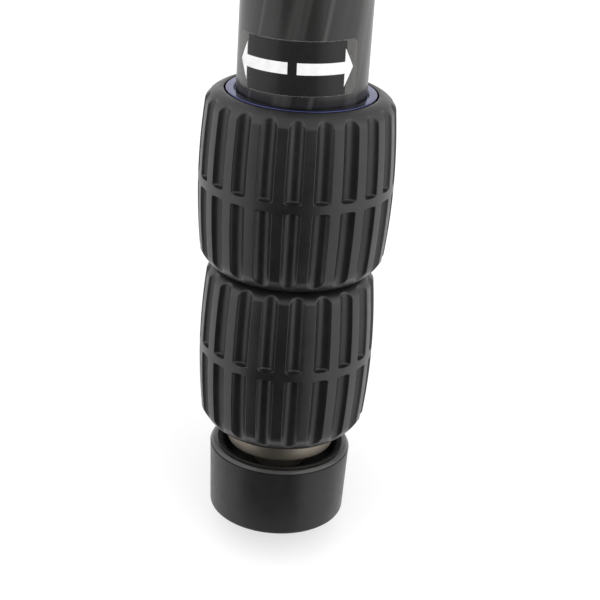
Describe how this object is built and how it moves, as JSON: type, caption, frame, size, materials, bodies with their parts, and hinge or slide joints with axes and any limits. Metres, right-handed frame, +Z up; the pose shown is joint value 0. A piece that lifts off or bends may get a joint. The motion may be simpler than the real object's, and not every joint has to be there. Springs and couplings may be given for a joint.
{
  "type": "camera tripod",
  "caption": "Three-legged camera tripod with telescoping carbon legs, fluted rubber twist locks, a sliding centre column and a head plate with a camera screw.",
  "frame": {"origin": "on the floor, under the middle of the stance's bounding box", "axes": "+Z up along the centre column; leg 1 points along -Y and legs 2 and 3 back to either side"},
  "size_m": [0.5138, 0.4491, 0.6147],
  "materials": {
    "carbon": "dark woven carbon under clear lacquer",
    "rubber": "matt moulded rubber",
    "foot_rubber": "smooth moulded rubber",
    "blue_metal": "blue anodised, turned",
    "collar_metal": "turned, warm grey anodised",
    "plain_metal": "machined",
    "casting": "fine textured black coating",
    "black_metal": "black anodised",
    "steel": "plain steel",
    "black_steel": "blackened steel",
    "plastic": "moulded low-friction plastic",
    "catch_plastic": "moulded plastic"
  },
  "bodies": {
    "shoulder": {"shoulder": "casting", "hinge_bolts": "black_steel", "column_collet": "plastic"},
    "column": {"column_tube": "carbon", "head_plate": "black_metal", "head_pad": "rubber", "head_screw": "steel", "head_set_screws": "black_steel", "column_cap": "black_metal"},
    "column_lock": {"column_lock_nut": "plain_metal", "column_lock_grip": "rubber"},
    "weight_hook": {"weight_hook": "steel"},
    "leg_1": {"leg_1_knuckle": "casting", "leg_1_upper_tube": "carbon", "leg_1_upper_ferrule": "blue_metal", "leg_1_upper_collet": "plastic"},
    "leg_1_catch": {"leg_1_catch": "catch_plastic"},
    "leg_1_upper_lock": {"leg_1_upper_nut": "plain_metal", "leg_1_upper_grip": "rubber"},
    "leg_1_middle_section": {"leg_1_middle_tube": "carbon", "leg_1_middle_ferrule": "blue_metal", "leg_1_middle_bushes": "plastic"},
    "leg_1_lower_lock": {"leg_1_lower_nut": "plain_metal", "leg_1_lower_grip": "rubber"},
    "leg_1_lower_section": {"leg_1_lower_tube": "carbon", "leg_1_lower_glides": "plastic", "leg_1_foot_spike": "collar_metal"},
    "leg_1_foot": {"leg_1_foot_pad": "foot_rubber"},
    "leg_2": {"leg_2_knuckle": "casting", "leg_2_upper_tube": "carbon", "leg_2_upper_ferrule": "blue_metal", "leg_2_upper_collet": "plastic"},
    "leg_2_catch": {"leg_2_catch": "catch_plastic"},
    "leg_2_upper_lock": {"leg_2_upper_nut": "plain_metal", "leg_2_upper_grip": "rubber"},
    "leg_2_middle_section": {"leg_2_middle_tube": "carbon", "leg_2_middle_ferrule": "blue_metal", "leg_2_middle_bushes": "plastic"},
    "leg_2_lower_lock": {"leg_2_lower_nut": "plain_metal", "leg_2_lower_grip": "rubber"},
    "leg_2_lower_section": {"leg_2_lower_tube": "carbon", "leg_2_lower_glides": "plastic", "leg_2_foot_spike": "collar_metal"},
    "leg_2_foot": {"leg_2_foot_pad": "foot_rubber"},
    "leg_3": {"leg_3_knuckle": "casting", "leg_3_upper_tube": "carbon", "leg_3_upper_ferrule": "blue_metal", "leg_3_upper_collet": "plastic"},
    "leg_3_catch": {"leg_3_catch": "catch_plastic"},
    "leg_3_upper_lock": {"leg_3_upper_nut": "plain_metal", "leg_3_upper_grip": "rubber"},
    "leg_3_middle_section": {"leg_3_middle_tube": "carbon", "leg_3_middle_ferrule": "blue_metal", "leg_3_middle_bushes": "plastic"},
    "leg_3_lower_lock": {"leg_3_lower_nut": "plain_metal", "leg_3_lower_grip": "rubber"},
    "leg_3_lower_section": {"leg_3_lower_tube": "carbon", "leg_3_lower_glides": "plastic", "leg_3_foot_spike": "collar_metal"},
    "leg_3_foot": {"leg_3_foot_pad": "foot_rubber"}
  },
  "joints": [
    {"name": "column_slide", "type": "slide", "parent": "shoulder", "child": "column", "axis": [0, 0, 1], "range_m": [0, 0.19]},
    {"name": "column_lock_turn", "type": "hinge", "parent": "shoulder", "child": "column_lock", "pos_m": [0, 0.06948, 0.58828], "axis": [0, 0, 1], "range_deg": [0, 180]},
    {"name": "weight_hook_pull", "type": "slide", "parent": "column", "child": "weight_hook", "axis": [0, 0, -1], "range_m": [0, 0.012], "stiffness_N_per_m": 150, "springref_m": -0.01},
    {"name": "leg_1_fold", "type": "hinge", "parent": "shoulder", "child": "leg_1", "pos_m": [0, 0.02948, 0.54508], "axis": [1, 0, 0], "range_deg": [0, 24]},
    {"name": "leg_1_catch_pull", "type": "slide", "parent": "leg_1", "child": "leg_1_catch", "axis": [0, -0.9135, 0.4067], "range_m": [0, 0.0075], "stiffness_N_per_m": 100, "springref_m": -0.01},
    {"name": "leg_1_upper_lock_turn", "type": "hinge", "parent": "leg_1", "child": "leg_1_upper_lock", "pos_m": [0, -0.16982, 0.09744], "axis": [0, -0.4067, -0.9135], "range_deg": [0, 180]},
    {"name": "leg_1_middle_slide", "type": "slide", "parent": "leg_1", "child": "leg_1_middle_section", "axis": [0, -0.4067, -0.9135], "range_m": [0, 0.428]},
    {"name": "leg_1_lower_lock_turn", "type": "hinge", "parent": "leg_1_middle_section", "child": "leg_1_lower_lock", "pos_m": [0, -0.16982, 0.09744], "axis": [0, -0.4067, -0.9135], "range_deg": [0, 180]},
    {"name": "leg_1_lower_slide", "type": "slide", "parent": "leg_1_middle_section", "child": "leg_1_lower_section", "axis": [0, -0.4067, -0.9135], "range_m": [0, 0.441]},
    {"name": "leg_1_foot_screw", "type": "slide", "parent": "leg_1_lower_section", "child": "leg_1_foot", "axis": [0, 0.4067, 0.9135], "range_m": [0, 0.005]},
    {"name": "leg_2_fold", "type": "hinge", "parent": "shoulder", "child": "leg_2", "pos_m": [0.03464, 0.08948, 0.54508], "axis": [-0.5, 0.866, 0], "range_deg": [0, 24]},
    {"name": "leg_2_catch_pull", "type": "slide", "parent": "leg_2", "child": "leg_2_catch", "axis": [0.7912, 0.4568, 0.4067], "range_m": [0, 0.0075], "stiffness_N_per_m": 100, "springref_m": -0.01},
    {"name": "leg_2_upper_lock_turn", "type": "hinge", "parent": "leg_2", "child": "leg_2_upper_lock", "pos_m": [0.20724, 0.18913, 0.09744], "axis": [0.3522, 0.2034, -0.9135], "range_deg": [0, 180]},
    {"name": "leg_2_middle_slide", "type": "slide", "parent": "leg_2", "child": "leg_2_middle_section", "axis": [0.3522, 0.2034, -0.9135], "range_m": [0, 0.428]},
    {"name": "leg_2_lower_lock_turn", "type": "hinge", "parent": "leg_2_middle_section", "child": "leg_2_lower_lock", "pos_m": [0.20724, 0.18913, 0.09744], "axis": [0.3522, 0.2034, -0.9135], "range_deg": [0, 180]},
    {"name": "leg_2_lower_slide", "type": "slide", "parent": "leg_2_middle_section", "child": "leg_2_lower_section", "axis": [0.3522, 0.2034, -0.9135], "range_m": [0, 0.441]},
    {"name": "leg_2_foot_screw", "type": "slide", "parent": "leg_2_lower_section", "child": "leg_2_foot", "axis": [-0.3522, -0.2034, 0.9135], "range_m": [0, 0.005]},
    {"name": "leg_3_fold", "type": "hinge", "parent": "shoulder", "child": "leg_3", "pos_m": [-0.03464, 0.08948, 0.54508], "axis": [-0.5, -0.866, 0], "range_deg": [0, 24]},
    {"name": "leg_3_catch_pull", "type": "slide", "parent": "leg_3", "child": "leg_3_catch", "axis": [-0.7912, 0.4568, 0.4067], "range_m": [0, 0.0075], "stiffness_N_per_m": 100, "springref_m": -0.01},
    {"name": "leg_3_upper_lock_turn", "type": "hinge", "parent": "leg_3", "child": "leg_3_upper_lock", "pos_m": [-0.20724, 0.18913, 0.09744], "axis": [-0.3522, 0.2034, -0.9135], "range_deg": [0, 180]},
    {"name": "leg_3_middle_slide", "type": "slide", "parent": "leg_3", "child": "leg_3_middle_section", "axis": [-0.3522, 0.2034, -0.9135], "range_m": [0, 0.428]},
    {"name": "leg_3_lower_lock_turn", "type": "hinge", "parent": "leg_3_middle_section", "child": "leg_3_lower_lock", "pos_m": [-0.20724, 0.18913, 0.09744], "axis": [-0.3522, 0.2034, -0.9135], "range_deg": [0, 180]},
    {"name": "leg_3_lower_slide", "type": "slide", "parent": "leg_3_middle_section", "child": "leg_3_lower_section", "axis": [-0.3522, 0.2034, -0.9135], "range_m": [0, 0.441]},
    {"name": "leg_3_foot_screw", "type": "slide", "parent": "leg_3_lower_section", "child": "leg_3_foot", "axis": [0.3522, -0.2034, 0.9135], "range_m": [0, 0.005]}
  ]
}
